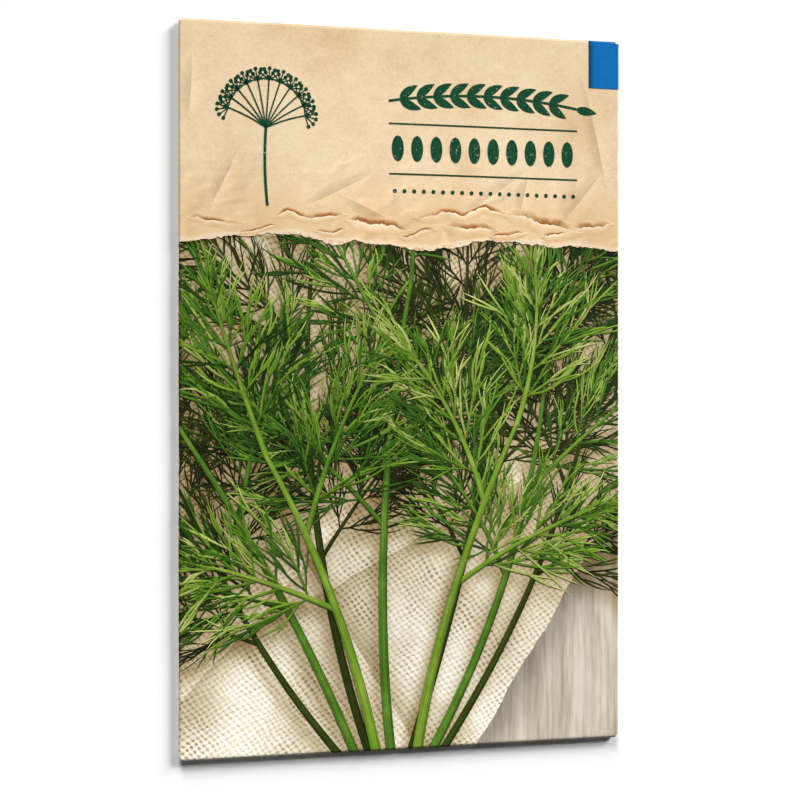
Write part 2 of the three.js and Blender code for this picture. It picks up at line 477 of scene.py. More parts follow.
def clothColour(place):
    wavy = addNode("ShaderNodeTexNoise", place)
    feed(wavy.inputs["Vector"], place)
    feed(wavy.inputs["Scale"], 1 / cloth["driftSize"])
    drift = addNode("ShaderNodeVectorMath", place)
    drift.operation = "MULTIPLY_ADD"
    feed(drift.inputs[0], wavy.outputs["Color"])
    feed(drift.inputs[1], (cloth["drift"], cloth["drift"], 0))
    feed(drift.inputs[2], place)
    wide, narrow = cloth["threads"]
    threads = mapped(drift.outputs[0], turn=cloth["turn"], scale=(1 / wide, 1 / narrow, 1))
    waves = [calc("SINE", times(axis, math.pi)) for axis in parted(threads)]
    sizes = [calc("ABSOLUTE", wave) for wave in waves]
    over = fade(times(*waves), -0.1, 0.1)  # which of two crossing threads lies on top
    # a thread is highest along its middle and where it crosses another, and as uneven as it was spun
    tops = []
    for width, length, stretch in (
        (sizes[0], sizes[1], (2.2, 0.4, 1)),
        (sizes[1], sizes[0], (0.4, 2.2, 1)),
    ):
        swell = calc("POWER", width, 0.3)
        dipped = scaled(length, 0.12, 0.7)
        slub = scaled(grain(mapped(threads, scale=stretch), 1.1, 2), 1.1, -0.46)
        tops.append(calc("ADD", times(swell, dipped), slub))
    height = calc("ADD", times(tops[0], over), times(tops[1], calc("SUBTRACT", 1.0, over)))
    colour = ramp(height, ((0.25, cloth["low"]), (0.6, cloth["middle"]), (0.95, cloth["top"])))
    # the holes between the threads, longer one way, and wider where two threads are thin
    corner = [calc("POWER", calc("SUBTRACT", 1.0, size), power) for size, power in zip(sizes, (1.3, 0.8))]
    thin = [grain(mapped(threads, scale=stretch), 1, 2) for stretch in ((1, 0.1, 1), (0.1, 1, 1))]
    thin = fade(calc("ADD", *thin), 0.8, 1.2, 0.35, 1.0)
    loose = fade(grain(place, 16, 3), 0.36, 0.6, 1.0, 0.3)  # the cloth is woven closer in some places
    holes = times(fade(times(*corner), 0.0, 0.32), times(loose, thin))
    return mixed(holes, colour, cloth["gap"])


def boardColour(place):
    wide, long = cloth["boardGrain"]
    along = mapped(place, turn=cloth["boardTurn"], scale=(1 / wide, 1 / long, 1))
    fine = scaled(grain(along, 0.24, 3), 0.5, -0.25)
    streaks = calc("ADD", grain(along, 1, 4, 0.6), fine)
    return ramp(streaks, ((0.28, cloth["boardDark"]), (0.66, cloth["boardLight"])))


def pastLine(place, through, heading):
    # how far a place is to the left of a slightly wavy line, in millimetres
    turn = math.radians(heading)
    _, aside = parted(mapped(place, turn=-turn))
    start = math.cos(turn) * through[1] - math.sin(turn) * through[0]
    waved = scaled(grain(place, cloth["waveSize"], 2), cloth["wave"], aside)
    return calc("SUBTRACT", waved, start + cloth["wave"] / 2)


def printedGround(place):
    colour = clothColour(place)
    for fold in cloth["folds"]:
        past = pastLine(place, fold["through"], fold["heading"])
        under = fade(past, -fold["reach"], 0.0, 0.0, fold["shadow"])
        under = times(under, calc("LESS_THAN", past, 0.0))
        lit = fade(past, 0.0, cloth["foldLightReach"], cloth["foldLight"], 0.0)
        lit = times(lit, calc("GREATER_THAN", past, 0.0))
        colour = dimmed(colour, calc("ADD", calc("SUBTRACT", 1.0, under), lit))
    patches = fade(grain(place, cloth["patchSize"], 2), 0.36, 0.6, *cloth["patchLight"])
    colour = dimmed(colour, patches)
    past = pastLine(place, *cloth["edge"])
    under = fade(past, -cloth["edgeReach"], 0.0, 1.0, cloth["edgeShadow"])
    board = shaded(boardColour(place), under)
    return mixed(calc("LESS_THAN", past, 0.0), colour, board)


# The kraft header, torn along its lower edge
header = {
    "base": 33.5,  # height of the torn edge on the front
    "swings": ((3.0, 23), (2.2, 6.1), (0.7, 1.9), (0.22, 0.5)),
    "core": 0.45,  # how far the pale inside of the torn paper shows below it
    "coreLeast": 0.05,
    "coreSwings": ((1.5, 7, 50), (0.3, 0.9, 80)),
    "shadow": 2.4,  # how far its printed shadow reaches
    "shadowLight": 0.5,
    "tan": ink(226, 184, 132),
    "tanReach": 18,
    "creased": (0.3, 0.045),  # how strongly, near the torn edge and above `smoothFrom`
    "smoothFrom": 60,
    "tornPale": ink(248, 230, 200),
    "columns": 420,
    "rows": 26,
    "crowding": 1.6,  # the rows lie closer together towards the torn edge
    "bakeFrom": 28,  # everything on it lies above this height
}


def jagged(x, width, row):
    # a line of straight pieces, each `width` mm long
    spot = x / width
    start, end = (noise.noise(Vector((1.37 * (math.floor(spot) + i), row, 0.5))) for i in (0, 1))
    return start + (end - start) * (spot - math.floor(spot))


def tearLine(x):
    return header["base"] + sum(size * jagged(x, width, 4.7 * width) for size, width in header["swings"])


def coreLine(x):
    shown = header["core"]
    for size, width, row in header["coreSwings"]:
        shown += size * noise.noise(Vector((x / width, row, 0)))
    return tearLine(x) - max(shown, header["coreLeast"])


# The bare blue tab at the right-hand edge, which goes on over the folds
tab = {
    "left": 42.8,
    "right": 50.4,
    "bottom": 69.0,
    "steps": 8,
    "dark": ink(0, 103, 173),
    "light": ink(0, 113, 184),
    "shade": 0.3,
    "shadeReach": 1.7,
}


def tabColour(place):
    # darker towards the kraft paper, as if it lay under it
    x, _ = parted(place)
    shade = fade(x, tab["left"], tab["left"] + tab["shadeReach"], tab["shade"], 1.0)
    pulp = grain(place, 1.4, 3, 0.6)
    return shaded(ramp(pulp, ((0.3, tab["dark"]), (0.7, tab["light"]))), shade)


# The envelope, with the size of its faces on each part of the blank and the steps round a fold
sheetMesh = {"front": 0.8, "back": 2.4, "fold": 8, "flap": 2.0}


def stations(start, stop, size):
    count = max(1, round(abs(stop - start) / size))
    return [start + (stop - start) * i / count for i in range(count)]


def foldStations(start, stop):
    return stations(start, stop, abs(stop - start) / sheetMesh["fold"])


blankColumns = [
    *stations(backFree, backFold, sheetMesh["back"]),
    *foldStations(backFold, panelLeft),
    *stations(panelLeft, -flapHalf, sheetMesh["front"]),
    *stations(-flapHalf, flapHalf, sheetMesh["front"]),
    *stations(flapHalf, panelRight, sheetMesh["front"]),
    *foldStations(panelRight, seamFold),
    *stations(seamFold, seamFree, sheetMesh["flap"]),
    seamFree,
]
blankRows = [
    *stations(bottomFree, -endFold, sheetMesh["flap"]),
    *foldStations(-endFold, -panelEnd),
    -panelEnd,
    *stations(-sideLength, sideLength, sheetMesh["front"]),
    sideLength,
    *foldStations(panelEnd, endFold),
    *stations(endFold, topFree, sheetMesh["flap"]),
    topFree,
]


# the half of each fold that shows from the front
halfFold = sheetMesh["fold"] // 2
leftTurn = [x for x in blankColumns if backFold < x <= panelLeft][halfFold - 1:]
rightTurn = [x for x in blankColumns if panelRight <= x < seamFold][:halfFold + 1]
bottomTurn = [y for y in blankRows if -endFold < y <= -panelEnd][halfFold - 1:]


def isPaper(bx, by):
    # the front, the narrower flaps at its ends, and the shorter parts at its sides
    if panelLeft < bx < panelRight:
        return abs(by) < panelEnd or abs(bx) < flapHalf
    return abs(by) < sideLength


# where each part of the blank starts in the OFBake map, and its width there; the front gets most
bakeMap = {"length": (0.01, 0.98), "front": (0.01, 0.64), "back": (0.67, 0.28), "inside": (0.96, 0.03)}


def bakeSpot(part, value, start, end):
    first, width = bakeMap[part]
    return first + width * (value - start) / (end - start)


def bakePlace(bx, by, inside=False):
    v = bakeSpot("length", by, bottomFree, topFree)
    if inside:
        return bakeSpot("inside", bx, backFree, seamFree), v
    if bx < panelLeft:
        return bakeSpot("back", bx, backFree, panelLeft), v
    return bakeSpot("front", bx, panelLeft, seamFree), v


def finishPiece(name, bm, *materials):
    made = addMesh(name, bm, *materials)
    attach(made, "root")
    print("made", name, "with", len(made.data.polygons), "faces")
    return made


# What the folds show
folds = {
    "pastSides": 0.3,  # the picture ends this far past half the packet's width
    "pastEnds": 0.9,
    "topFoldShade": 0.48,  # painted shade: the top fold is printed darker, so that the low lamps facing it don't bleach it
    "topFoldShadeReach": (0.4, 0.78),  # fully so up to the first distance from its middle, and not past the second
}


def blankColour(place):
    # the whole outside of the blank: kraft paper, the picture's ground, and the tab where it goes over
    x, y = parted(place)
    ground = dimmed(printedGround(place), ownValue(place, "shade"))
    shown = times(calc("COMPARE", x, 0.0, halfWidth + folds["pastSides"]),
                  calc("COMPARE", y, 0.0, halfLength + folds["pastEnds"]))
    shown = times(shown, calc("LESS_THAN", y, header["base"]))
    colour = mixed(shown, kraftColour(place), ground)
    inTab = times(calc("GREATER_THAN", x, tab["left"]), calc("GREATER_THAN", y, tab["bottom"]))
    inTab = times(inTab, calc("LESS_THAN", y, endFold))
    colour = mixed(inTab, colour, tabColour(place))
    # painted shade on the top fold, darkest along its middle and fading out towards the front and the flap
    fromTop = calc("ABSOLUTE", calc("SUBTRACT", y, panelEnd + math.pi * endRadius / 2))
    return shaded(colour, fade(fromTop, *folds["topFoldShadeReach"], folds["topFoldShade"], 1.0))


insideOfPaper = {
    "roughness": 0.8,
    "specular": 0.2,
    "stretch": (1, 1, 1),
    "grain": (1.6, 4, 0.7),
    "colours": ((0.3, ink(226, 219, 202)), (0.7, ink(244, 240, 229))),
    "depth": 0.02,
}


def cutAndFold():
    bm = bmesh.new()
    bmesh.ops.create_grid(bm, x_segments=len(blankColumns) - 1, y_segments=len(blankRows) - 1, size=0.5)
    flat = bm.verts.layers.float_vector.new("flat")
    shade = bm.verts.layers.float.new("shade")
    blankMap = bm.loops.layers.uv.new("blank")
    bakeLayer = bm.loops.layers.uv.new("OFBake")
    for index, vert in enumerate(bm.verts):
        row, column = divmod(index, len(blankColumns))
        vert.co = (blankColumns[column], blankRows[row], 0)
    offcuts = [face for face in bm.faces if not isPaper(*face.calc_center_median().xy)]
    bmesh.ops.delete(bm, geom=offcuts, context="FACES")
    for vert in bm.verts:
        vert[flat] = vert.co
        vert[shade] = shadows["ground"].at(vert.co.x, vert.co.y)
    for face in bm.faces:
        for loop in face.loops:
            loop[blankMap].uv = loop.vert.co.xy
            loop[bakeLayer].uv = bakePlace(*loop.vert.co.xy)
    inner = list(bm.faces)
    made = bmesh.ops.extrude_face_region(bm, geom=inner, use_keep_orig=True)
    outer = {face for face in made["geom"] if isinstance(face, bmesh.types.BMFace)}
    outerVerts = {vert for face in outer for vert in face.verts}
    for vert in bm.verts:
        out = paper / 2 if vert in outerVerts else -paper / 2
        vert.co = folded(vert[flat].x, vert[flat].y, out)
    bmesh.ops.reverse_faces(bm, faces=inner)
    for face in bm.faces:
        if face in outer:
            continue
        face.material_index = 1
        for loop in face.loops:
            loop[bakeLayer].uv = bakePlace(*loop.vert[flat].xy, inside=True)
    outside = newPrint("printed_paper", lambda shader: ownMap(shader, "blank"), blankColour)
    inside = evenMaterial("plain_paper", insideOfPaper)
    envelope = finishPiece("packet_paper", bm, outside, inside)
    envelope.data.shade_smooth()
    envelope.data.set_sharp_from_angle(angle=math.radians(50))
    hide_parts("paper_envelope")


# Printed strands: flat ribbons of any outline that lie on the packet along a path
def walk(start, heading, length, bend, steps):
    # points along a stretch that turns evenly by `bend` degrees
    points = [Vector(start)]
    for step in range(steps):
        turn = math.radians(heading + bend * (step + 0.5) / steps)
        points.append(points[-1] + Vector((math.cos(turn), math.sin(turn))) * (length / steps))
    return points


def partWay(points, share):
    # the place and the heading at a share of a stretch, up to just short of its end
    spot = min(max(share, 0), 0.9999) * (len(points) - 1)
    index = int(spot)
    step = points[index + 1] - points[index]
    return points[index] + step * (spot - index), math.degrees(math.atan2(step.y, step.x))


# how wide a strand is along its way, as a share of its width
def threadShape(share):
    return max(min(1, 0.75 + share) * (1 - share**4), 0.06)


def stalkShape(share):
    return 1 - 0.6 * share**1.3


def leafShape(share):
    return max(abs(math.sin(math.pi * share**0.8)) ** 0.85, 0.03)


def rollShape(share):
    return max(min(6 * share, 4 * (1 - share), 1) ** 0.7, 0.03)


def ovalShape(share):
    return max(2 * math.sqrt(share * (1 - share)), 0.03)


def ruleShape(share):
    return 1


lightWay = Vector((-0.42, 0.91))  # where the light in the printed picture comes from
sideShade = 0.42  # how much darker it leaves the side of a thread that is turned across it
rankStep = 0.00015  # each leaflet lies this much over the one before it
bakeMargin = 0.1  # empty border round each strand in the OFBake map


def layStrands(name, strands, steps, shape, lift, material, shadow=None, place=onFront, sink=0):
    # every third column of one long grid goes, which leaves two columns of faces for each strand;
    # its two sides lie `sink` lower than its middle
    bm = bmesh.new()
    columns = 3 * len(strands) - 1
    bmesh.ops.create_grid(bm, x_segments=columns, y_segments=steps, size=0.5)
    strandMap = bm.loops.layers.uv.new("strand")
    bakeLayer = bm.loops.layers.uv.new("OFBake")
    tint = bm.verts.layers.float.new("tint")
    shade = bm.verts.layers.float.new("shade")
    height = bm.verts.layers.float.new("height")
    where = {vert: divmod(index, columns + 1) for index, vert in enumerate(bm.verts)}
    perRow = math.ceil(math.sqrt(len(strands)))
    for face in bm.faces:
        for loop in face.loops:
            row, column = where[loop.vert]
            spot = column % 3 / 2, row / steps
            loop[strandMap].uv = spot
            squares = zip((column // 3 % perRow, column // 3 // perRow), spot)
            loop[bakeLayer].uv = [
                (square + bakeMargin + (1 - 2 * bakeMargin) * value) / perRow for square, value in squares
            ]
    for vert, (row, column) in where.items():
        strand = strands[column // 3]
        path = strand["path"]
        ahead = path[min(row + 1, steps)] - path[max(row - 1, 0)]
        aside = Vector((-ahead.y, ahead.x)).normalized()
        side = 1 - column % 3
        spot = path[row] + aside * side * strand["width"] / 2 * shape(row / steps)
        vert.co = (*spot, 0)
        vert[tint] = strand.get("tint", 0)
        vert[height] = lift + (rankStep * strand.get("rank", 0) if sink == 0 or side == 0 else -sink)
        light = shadow.at(*spot) if shadow else 1
        if shadow and side:
            light *= 1 - sideShade + sideShade * side * aside.dot(lightWay)
        vert[shade] = light
    spare = [face for index, face in enumerate(bm.faces) if index % columns % 3 == 2]
    bmesh.ops.delete(bm, geom=spare, context="FACES")
    if place is onFront:
        trimToFront(bm)
    for vert in bm.verts:
        vert.co = place(vert.co.x, vert.co.y, vert[height])
    finishPiece(name, bm, material)


def trimToFront(bm):
    # cut at each line of the folds, so that what crosses a fold bends with the paper
    cuts = [((x, 0, 0), (-1, 0, 0), x == leftTurn[0]) for x in reversed(leftTurn)]
    cuts += [((x, 0, 0), (1, 0, 0), x == rightTurn[-1]) for x in rightTurn]
    cuts += [((0, y, 0), (0, -1, 0), y == bottomTurn[0]) for y in reversed(bottomTurn)]
    cuts += [((0, panelEnd, 0), (0, 1, 0), True)]
    for point, way, last in cuts:
        everything = [*bm.verts, *bm.edges, *bm.faces]
        bmesh.ops.bisect_plane(bm, geom=everything, plane_co=point, plane_no=way, clear_outer=last)


# The printed herbs: stalks that part into leaflets of fine threads
threadSteps = 6
stemSteps = 48

frondForm = {
    "pairs": 6,
    "firstPair": 0.2,
    "spread": (44, 20),  # a leaflet's angle to its stalk, at the first pair and the last
    "leaflet": 0.42,  # length of the longest leaflet, as a share of the frond
    "leafletLeast": 5,
    "leafletBend": 16,
    "endLeaflet": 8,
    "threadPitch": 3.4,
    "threadSpread": (28, 13),
    "threadLength": (6.6, 0.37),  # the shortest, and what each mm of the leaflet still ahead adds
    "threadBend": 24,
    "threadHue": (-0.4, 0.42),
    "forkChance": 0.7,
    "forkAt": (0.2, 0.55),
    "forkSpread": 16,
    "forkLength": (0.45, 0.72),
    "forkBend": 18,
    "threadWidth": 0.4,
    "stalkWidth": 1.0,
    "stalkHue": 0.18,  # stalks and stems are lighter than their leaflets
    "stemHue": 0.22,
}


def between(ends, share):
    return ends[0] * (1 - share) + ends[1] * share


class Bunch:
    # one layer of the herbs, drawn by rules with random numbers of its own
    def __init__(self, seed, coarse):
        self.draw = random.Random(seed)
        self.coarse = coarse  # the size of its threads and the room between them
        self.threads = []
        self.stems = []
        self.rank = 0

    def vary(self, value, share):
        return value * (1 + share * (2 * self.draw.random() - 1))

    def thread(self, start, heading, length, bend, width, tint):
        path = walk(start, heading, length, bend, threadSteps)
        self.threads.append({"path": path, "width": width, "tint": tint, "rank": self.rank})
        return path

    def stem(self, path, width, tint):
        self.rank += 1
        self.stems.append({"path": path, "width": width, "tint": tint, "rank": self.rank})

    def leaflet(self, start, heading, length, bend, tint):
        form = frondForm
        self.rank += 1
        thickness = form["threadWidth"] * self.coarse
        spine = self.thread(start, heading, length, bend, thickness * 1.2, tint + 0.05)
        count = max(2, round(length / form["threadPitch"] / self.coarse))
        for index in range(count):
            for side in (1, -1):
                share = 0.08 + 0.86 * (index + 0.4 * self.draw.random()) / count
                at, facing = partWay(spine, share)
                spread = between(form["threadSpread"], share)
                least, perLength = form["threadLength"]
                reach = self.vary(least * self.coarse + perLength * length * (1 - share), 0.4)
                lean = facing + side * self.vary(spread, 0.45)
                hue = tint + 0.12 * share + self.draw.uniform(*form["threadHue"])
                width = self.vary(thickness, 0.3)
                bow = -side * self.vary(form["threadBend"], 1.9)
                grown = self.thread(at, lean, reach, bow, width, hue)
                for fork in (1, -1):
                    if self.draw.random() > form["forkChance"]:
                        continue
                    tip, way = partWay(grown, self.draw.uniform(*form["forkAt"]))
                    turned = way + fork * self.vary(form["forkSpread"], 0.4)
                    forkLength = reach * self.draw.uniform(*form["forkLength"])
                    bow = -fork * self.vary(form["forkBend"], 1.6)
                    self.thread(tip, turned, forkLength, bow, width * 0.88, hue)

    def frond(self, start, heading, length, bend, tint):
        form = frondForm
        spine = walk(start, heading, length, bend, stemSteps)
        tint += self.draw.uniform(-0.12, 0.12)
        for index in range(form["pairs"]):
            share = index / (form["pairs"] - 1)
            at, facing = partWay(spine, form["firstPair"] + (0.96 - form["firstPair"]) * share**0.85)
            spread = between(form["spread"], share)
            reach = form["leafletLeast"] + length * form["leaflet"] * (1 - share) ** 0.9
            for side in (1, -1):
                lean = facing + side * self.vary(spread, 0.25)
                hue = tint + self.draw.uniform(-0.1, 0.1)
                grown = self.vary(reach, 0.28)
                self.leaflet(at, lean, grown, -side * self.vary(form["leafletBend"], 1.1), hue)
        self.leaflet(spine[-1], partWay(spine, 1)[1], form["endLeaflet"], 0, tint + 0.1)
        self.stem(spine, form["stalkWidth"] * self.coarse, tint + form["stalkHue"])

    def plant(self, start, heading, length, bend, width, fronds, tint):
        # a main stem, with a frond for each share of its length, side, frond length and angle
        spine = walk(start, heading, length, bend, stemSteps)
        for share, side, reach, spread in fronds:
            at, facing = partWay(spine, share)
            lean = facing + side * self.vary(spread, 0.12)
            self.frond(at, lean, self.vary(reach, 0.08), side * self.vary(10, 1.6), tint)
        self.stem(spine, width, tint + frondForm["stemHue"])


# each plant: where its stem enters, heading, length, bend, width, and its fronds
bouquet = {
    "back": {"seed": 11, "coarse": 0.9, "tint": 0.34, "plants": (
        ((-12, -84), 131, 64, -18, 1.8, ((0.55, 1, 34, 36), (0.8, -1, 34, 34), (1, 1, 28, 4))),
        ((-7, -84), 110, 116, -26, 2.0,
         ((0.42, -1, 38, 36), (0.52, 1, 38, 38), (0.66, -1, 38, 36), (0.8, 1, 34, 34), (1, 1, 30, 4))),
        ((0, -84), 72, 120, 12, 2.0,
         ((0.4, 1, 38, 40), (0.54, -1, 36, 36), (0.66, 1, 38, 38), (0.82, -1, 34, 34), (1, 1, 28, 2))),
        ((6, -84), 55, 96, 22, 1.8, ((0.5, -1, 36, 36), (0.72, 1, 34, 36), (1, -1, 34, 6))),
        ((9, -12), 80, 22, 0, 1.4, ((0.5, -1, 28, 34), (1, 1, 32, 6))),
    )},
    "middle": {"seed": 23, "coarse": 1.05, "tint": 0.42, "plants": (
        ((-10, -84), 112, 88, 12, 2.1, ((0.45, 1, 36, 38), (0.7, -1, 38, 36), (1, -1, 34, 6))),
        ((-3, -84), 97, 108, -18, 2.2,
         ((0.5, 1, 38, 40), (0.66, -1, 40, 38), (0.84, 1, 34, 34), (1, 1, 30, 6))),
        ((4, -84), 60, 92, 24, 2.1, ((0.5, 1, 34, 38), (0.72, -1, 38, 36), (1, -1, 32, 6))),
    )},
    "front": {"seed": 37, "coarse": 1.25, "tint": 0.42, "plants": (
        ((-6, -84), 101, 74, 18, 2.4, ((0.5, 1, 36, 42), (0.74, -1, 40, 36), (1, -1, 34, 8))),
        ((2, -84), 82, 80, -18, 2.4, ((0.52, -1, 36, 40), (0.76, 1, 38, 38), (1, 1, 34, 6))),
    )},
}

# from the darkest tint of a layer to its lightest
herbInks = {
    "back": ((0.0, ink(34, 36, 12)), (0.45, ink(50, 58, 18)),
             (0.75, ink(72, 92, 28)), (1.0, ink(102, 130, 42))),
    "middle": ((0.0, ink(34, 50, 14)), (0.4, ink(54, 90, 26)),
               (0.7, ink(92, 140, 40)), (1.0, ink(172, 198, 84))),
    "front": ((0.0, ink(38, 68, 18)), (0.35, ink(80, 132, 34)),
              (0.7, ink(146, 186, 56)), (1.0, ink(222, 232, 136))),
}


class CastShade:
    # the soft shade that strands cast on what is printed under them, worked out on a coarse grid
    cell = 0.5
    margin = 6
    density = 1.4  # how soon strands that lie over each other make it full

    def __init__(self, strands, depth, move, blur):
        cover = np.zeros([int(2 * (half + self.margin) / self.cell) for half in (halfWidth, halfLength)])
        for strand in strands:
            path = strand["path"]
            reach = (path[1] - path[0]).length
            for index in range(2 * len(path) - 1):
                spot, _ = partWay(path, index / (2 * len(path) - 2))
                i, j = (int(value) for value in self.cellAt(spot.x - move[0], spot.y - move[1]))
                if 0 <= i < cover.shape[0] and 0 <= j < cover.shape[1]:
                    cover[i, j] += strand["width"] * reach / 2 / self.cell**2
        size = int(3 * blur / self.cell)
        kernel = np.exp(-0.5 * (np.arange(-size, size + 1) * self.cell / blur) ** 2)
        kernel /= kernel.sum()
        for axis in (0, 1):
            cover = np.apply_along_axis(np.convolve, axis, cover, kernel, "same")
        self.light = 1 - depth * (1 - np.exp(-self.density * cover))

    def cellAt(self, x, y):
        return (x + halfWidth + self.margin) / self.cell, (y + halfLength + self.margin) / self.cell

    def at(self, x, y):
        # the light that is left at a place, between the four cells round it
        i, j = (value - 0.5 for value in self.cellAt(x, y))
        i = min(max(i, 0), self.light.shape[0] - 2)
        j = min(max(j, 0), self.light.shape[1] - 2)
        a, b = int(i), int(j)
        near = self.light[a, b] * (b + 1 - j) + self.light[a, b + 1] * (j - b)
        far = self.light[a + 1, b] * (b + 1 - j) + self.light[a + 1, b + 1] * (j - b)
        below = tearLine(x) - y
        torn = between((header["shadowLight"], 1), rise(below, header["shadow"])) if below > 0 else 1
        return float(near * (a + 1 - i) + far * (i - a)) * torn


def growHerbs():
    layers = {}
    for name, layer in bouquet.items():
        bunch = Bunch(layer["seed"], layer["coarse"])
        for plant in layer["plants"]:
            bunch.plant(*plant, layer["tint"])
        layers[name] = bunch
        print("grown", name, len(bunch.threads), "threads and", len(bunch.stems), "stems")
    return layers


herbs = growHerbs()
inBack, inMiddle, inFront = (bunch.threads + bunch.stems for bunch in herbs.values())
shadows = {
    "ground": CastShade(inBack + inMiddle + inFront, depth=0.68, move=(1.3, 2.0), blur=1.2),
    "back": CastShade(inMiddle + inFront, depth=0.5, move=(0.9, 1.4), blur=0.9),
    "middle": CastShade(inFront, depth=0.6, move=(0.7, 1.0), blur=0.7),
    "front": CastShade(inFront, depth=0.3, move=(0.9, 1.3), blur=0.8),
}


def herbTint(place):
    return calc("ADD", ownValue(place, "tint"), scaled(grain(place, 5, 2), 0.44, -0.22))


def stemMaterial(layer):
    def colourOf(place):
        streaks = grain(mapped(ownMap(place, "strand"), scale=(8, 3, 1)), 1, 3)
        tint = calc("ADD", herbTint(place), scaled(streaks, 1.1, -0.55))
        return shaded(ramp(tint, herbInks[layer]), ownValue(place, "shade"))

    return printedMaterial("stems_" + layer, colourOf)


def leafMaterial(layer):
    def colourOf(place):
        # each thread is darker at its root and lighter at its tip
        _, along = parted(ownMap(place, "strand"))
        tint = calc("ADD", herbTint(place), fade(along, 0.55, 1.0, 0.0, 0.22))
        colour = shaded(ramp(tint, herbInks[layer]), fade(along, 0.0, 0.5, 0.76, 1.04))
        return shaded(colour, ownValue(place, "shade"))

    return printedMaterial("leaves_" + layer, colourOf)


# how high the printed layers lie
lifts = {
    "herbs": 0.010,  # the first layer, over the paper
    "nextHerbs": 0.004,  # each further layer, over the one before it
    "header": 0.004,  # this one and those below it here, over the torn core
    "creases": 0.012,
    "curls": 0.03,
    "ornaments": 0.06,
}


def printHerbs():
    lift = lifts["herbs"]
    for name, bunch in herbs.items():
        leaves, stems = leafMaterial(name), stemMaterial(name)
        layStrands("leaves_" + name, bunch.threads, threadSteps, threadShape, lift, leaves, shadows[name])
        layStrands("stems_" + name, bunch.stems, stemSteps, stalkShape, lift, stems, shadows[name])
        lift += rankStep * bunch.rank + lifts["nextHerbs"]
    return lift


def layHeader(name, edge, lift, material):
    count, rows = header["columns"], header["rows"]
    across = [panelLeft + (panelRight - panelLeft) * column / count for column in range(count + 1)]
    across = leftTurn[:-1] + across + rightTurn[1:]
    columns = len(across) - 1
    bm = bmesh.new()
    bmesh.ops.create_grid(bm, x_segments=columns, y_segments=rows, size=0.5)
    tearMap = bm.loops.layers.uv.new("tear")
    bakeLayer = bm.loops.layers.uv.new("OFBake")
    for index, vert in enumerate(bm.verts):
        row, column = divmod(index, columns + 1)
        x = across[column]
        bottom = edge(x)
        vert.co = (x, bottom + (panelEnd - bottom) * (row / rows) ** header["crowding"], 0)
    start = header["bakeFrom"]
    for face in bm.faces:
        for loop in face.loops:
            x, y, _ = loop.vert.co
            loop[tearMap].uv = (x, y - edge(x))
            loop[bakeLayer].uv = ((x + halfWidth) / halfWidth / 2, (y - start) / (halfLength - start))
    for vert in bm.verts:
        vert.co = onFront(vert.co.x, vert.co.y, lift)
    finishPiece(name, bm, material)


def wornKraft(place):
    # darker and more creased near the torn edge
    _, y = parted(place)
    tanned = fade(y, header["base"] + header["tanReach"], header["base"] + 1, 0.0, 0.5)
    colour = mixed(tanned, kraftColour(place), header["tan"])
    strength = fade(y, header["base"] + 3, header["smoothFrom"], *header["creased"])
    return shaded(colour, creased(place, strength))


def headerColour(place):
    _, above = parted(ownMap(place, "tear"))
    pale = fade(above, 0.0, 1.1, 0.6, 0.0)
    return mixed(pale, wornKraft(place), header["tornPale"])


def coreColour(place):
    pulp = grain(place, 0.7, 4, 0.7)
    return ramp(pulp, ((0.35, ink(206, 168, 122)), (0.62, ink(248, 232, 206))))


# Rolled and creased spots of the torn paper
curls = {"steps": 24, "sink": 0.036, "rolls": (
    # where each starts, its length, height over the torn edge, width and slope
    (-48.5, 13, 2.6, 3.0, -0.1), (-38, 10, 1.2, 1.8, 0.1), (-30, 17, 4.6, 3.2, 0.08),
    (-21, 8, 1.5, 2.2, -0.1), (-14, 15, 3.0, 4.6, -0.14), (-2, 9, 1.3, 2.2, 0.1),
    (1, 24, 5.6, 3.4, 0.12), (8, 13, 2.2, 4.6, -0.06), (19, 9, 1.4, 2.6, 0.16),
    (22, 19, 4.2, 5.2, -0.16), (31, 11, 1.8, 3.2, 0.12), (38.5, 10.5, 3.4, 4.2, 0.1),
)}
creases = {"steps": 16, "sink": 0.016, "width": 7.0, "bend": 6, "lines": (
    # where each starts, its heading and its length
    ((-44, 38), 62, 17), ((-24, 39.5), 24, 21), ((-4, 37.5), 152, 13), ((12, 38.5), 32, 24),
    ((26, 39), 74, 11), ((36, 37.5), 48, 19), ((47, 46), 100, 26), ((-48, 58), 84, 15),
)}
spotRanks = 20  # how many ranks a curl or crease lies over the one before it


def tearCurls():
    made = []
    for index, (start, length, above, width, slope) in enumerate(curls["rolls"]):
        path = []
        for step in range(curls["steps"] + 1):
            x = start + length * step / curls["steps"]
            wobble = 1.5 * jagged(x, 4.4, 7.3 * index + 3) + 0.4 * jagged(x, 1.1, index)
            path.append(Vector((x, header["base"] + above + slope * (x - start - length / 2) + wobble)))
        made.append({"path": path, "width": width, "rank": spotRanks * index})
    return made


def creaseLines():
    made = []
    for index, (start, heading, length) in enumerate(creases["lines"]):
        path = walk(start, heading, length, creases["bend"], creases["steps"])
        made.append({"path": path, "width": creases["width"], "rank": spotRanks * index})
    return made


def curlColour(place):
    u, v = parted(ownMap(place, "strand"))
    rough = scaled(grain(place, 2.6, 3), 0.5, -0.25)
    across = calc("ADD", u, rough)
    roll = ramp(across, (
        (0.1, ink(224, 186, 138)), (0.3, ink(168, 112, 62)), (0.4, ink(138, 86, 42)),
        (0.44, ink(250, 228, 196)), (0.6, ink(240, 208, 164)), (0.9, ink(222, 180, 128)),
    ))
    edges = times(fade(u, 0.02, 0.25), fade(u, 1.0, 0.7))
    ends = times(fade(v, 0.0, 0.2), fade(v, 1.0, 0.75))
    strength = fade(grain(place, 6, 2), 0.34, 0.56, 0.35, 1.0)
    shown = times(times(edges, ends), strength)
    return mixed(shown, wornKraft(place), roll)


